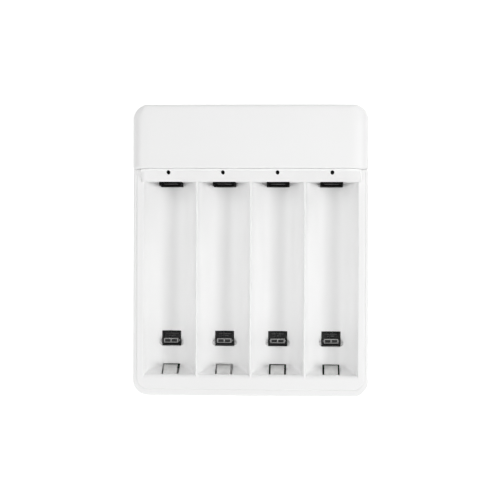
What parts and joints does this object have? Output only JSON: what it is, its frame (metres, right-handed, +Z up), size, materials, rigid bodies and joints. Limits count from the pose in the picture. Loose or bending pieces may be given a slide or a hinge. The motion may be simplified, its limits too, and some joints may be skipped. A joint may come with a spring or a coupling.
{
  "type": "battery charger",
  "caption": "Desktop charger with a flat head cover and side-by-side troughs, each with a sprung lever for a short cell and a leaf contact for a long one.",
  "frame": {"origin": "the middle of the rest plane, under the feet", "axes": "+X to the right seen from above with the head away, +Y from the tail to the head, +Z up"},
  "size_m": [0.0654, 0.0804, 0.0196],
  "materials": {
    "white_shell": "satin moulded",
    "black_nylon": "moulded",
    "nickel": "nickel plated sheet",
    "steel": "plain",
    "green_board": "solder mask",
    "chip_black": "moulded",
    "ferrite": "fired",
    "capacitor_can": "drawn can",
    "clear_lens": "clear cast",
    "foot_rubber": "moulded"
  },
  "bodies": {
    "case": {"base_tub": "white_shell", "tray": "white_shell", "head_cover": "white_shell", "circuit_board": "green_board", "control_chip": "chip_black", "power_coil": "ferrite", "filter_capacitor": "capacitor_can", "inlet_shell": "nickel", "inlet_tongue": "black_nylon", "status_light_1": "clear_lens", "plus_guard_1": "black_nylon", "plus_contact_1": "nickel", "lever_well_1": "black_nylon", "lever_pin_1": "steel", "lever_spring_1": "steel", "status_light_2": "clear_lens", "plus_guard_2": "black_nylon", "plus_contact_2": "nickel", "lever_well_2": "black_nylon", "lever_pin_2": "steel", "lever_spring_2": "steel", "status_light_3": "clear_lens", "plus_guard_3": "black_nylon", "plus_contact_3": "nickel", "lever_well_3": "black_nylon", "lever_pin_3": "steel", "lever_spring_3": "steel", "status_light_4": "clear_lens", "plus_guard_4": "black_nylon", "plus_contact_4": "nickel", "lever_well_4": "black_nylon", "lever_pin_4": "steel", "lever_spring_4": "steel", "case_screw_1": "steel", "foot_1": "foot_rubber", "case_screw_2": "steel", "foot_2": "foot_rubber", "case_screw_3": "steel", "foot_3": "foot_rubber", "case_screw_4": "steel", "foot_4": "foot_rubber"},
    "lever_1": {"aaa_lever_1": "black_nylon", "aaa_contact_1": "nickel"},
    "leaf_1": {"aa_contact_1": "nickel"},
    "lever_2": {"aaa_lever_2": "black_nylon", "aaa_contact_2": "nickel"},
    "leaf_2": {"aa_contact_2": "nickel"},
    "lever_3": {"aaa_lever_3": "black_nylon", "aaa_contact_3": "nickel"},
    "leaf_3": {"aa_contact_3": "nickel"},
    "lever_4": {"aaa_lever_4": "black_nylon", "aaa_contact_4": "nickel"},
    "leaf_4": {"aa_contact_4": "nickel"}
  },
  "joints": [
    {"name": "lever_fold_1", "type": "hinge", "parent": "case", "child": "lever_1", "pos_m": [-0.0225, -0.02535, 0.00725], "axis": [-1, 0, 0], "range_deg": [0, 90], "stiffness_Nm_per_rad": 0.0006, "springref_deg": -22.92, "deforming": ["lever_spring_1"]},
    {"name": "lever_fold_2", "type": "hinge", "parent": "case", "child": "lever_2", "pos_m": [-0.0075, -0.02535, 0.00725], "axis": [-1, 0, 0], "range_deg": [0, 90], "stiffness_Nm_per_rad": 0.0006, "springref_deg": -22.92, "deforming": ["lever_spring_2"]},
    {"name": "lever_fold_3", "type": "hinge", "parent": "case", "child": "lever_3", "pos_m": [0.0075, -0.02535, 0.00725], "axis": [-1, 0, 0], "range_deg": [0, 90], "stiffness_Nm_per_rad": 0.0006, "springref_deg": -22.92, "deforming": ["lever_spring_3"]},
    {"name": "lever_fold_4", "type": "hinge", "parent": "case", "child": "lever_4", "pos_m": [0.0225, -0.02535, 0.00725], "axis": [-1, 0, 0], "range_deg": [0, 90], "stiffness_Nm_per_rad": 0.0006, "springref_deg": -22.92, "deforming": ["lever_spring_4"]},
    {"name": "leaf_flex_1", "type": "hinge", "parent": "case", "child": "leaf_1", "pos_m": [-0.0225, -0.0351, 0.005], "axis": [1, 0, 0], "range_deg": [0, 7], "stiffness_Nm_per_rad": 0.1},
    {"name": "leaf_flex_2", "type": "hinge", "parent": "case", "child": "leaf_2", "pos_m": [-0.0075, -0.0351, 0.005], "axis": [1, 0, 0], "range_deg": [0, 7], "stiffness_Nm_per_rad": 0.1},
    {"name": "leaf_flex_3", "type": "hinge", "parent": "case", "child": "leaf_3", "pos_m": [0.0075, -0.0351, 0.005], "axis": [1, 0, 0], "range_deg": [0, 7], "stiffness_Nm_per_rad": 0.1},
    {"name": "leaf_flex_4", "type": "hinge", "parent": "case", "child": "leaf_4", "pos_m": [0.0225, -0.0351, 0.005], "axis": [1, 0, 0], "range_deg": [0, 7], "stiffness_Nm_per_rad": 0.1}
  ]
}
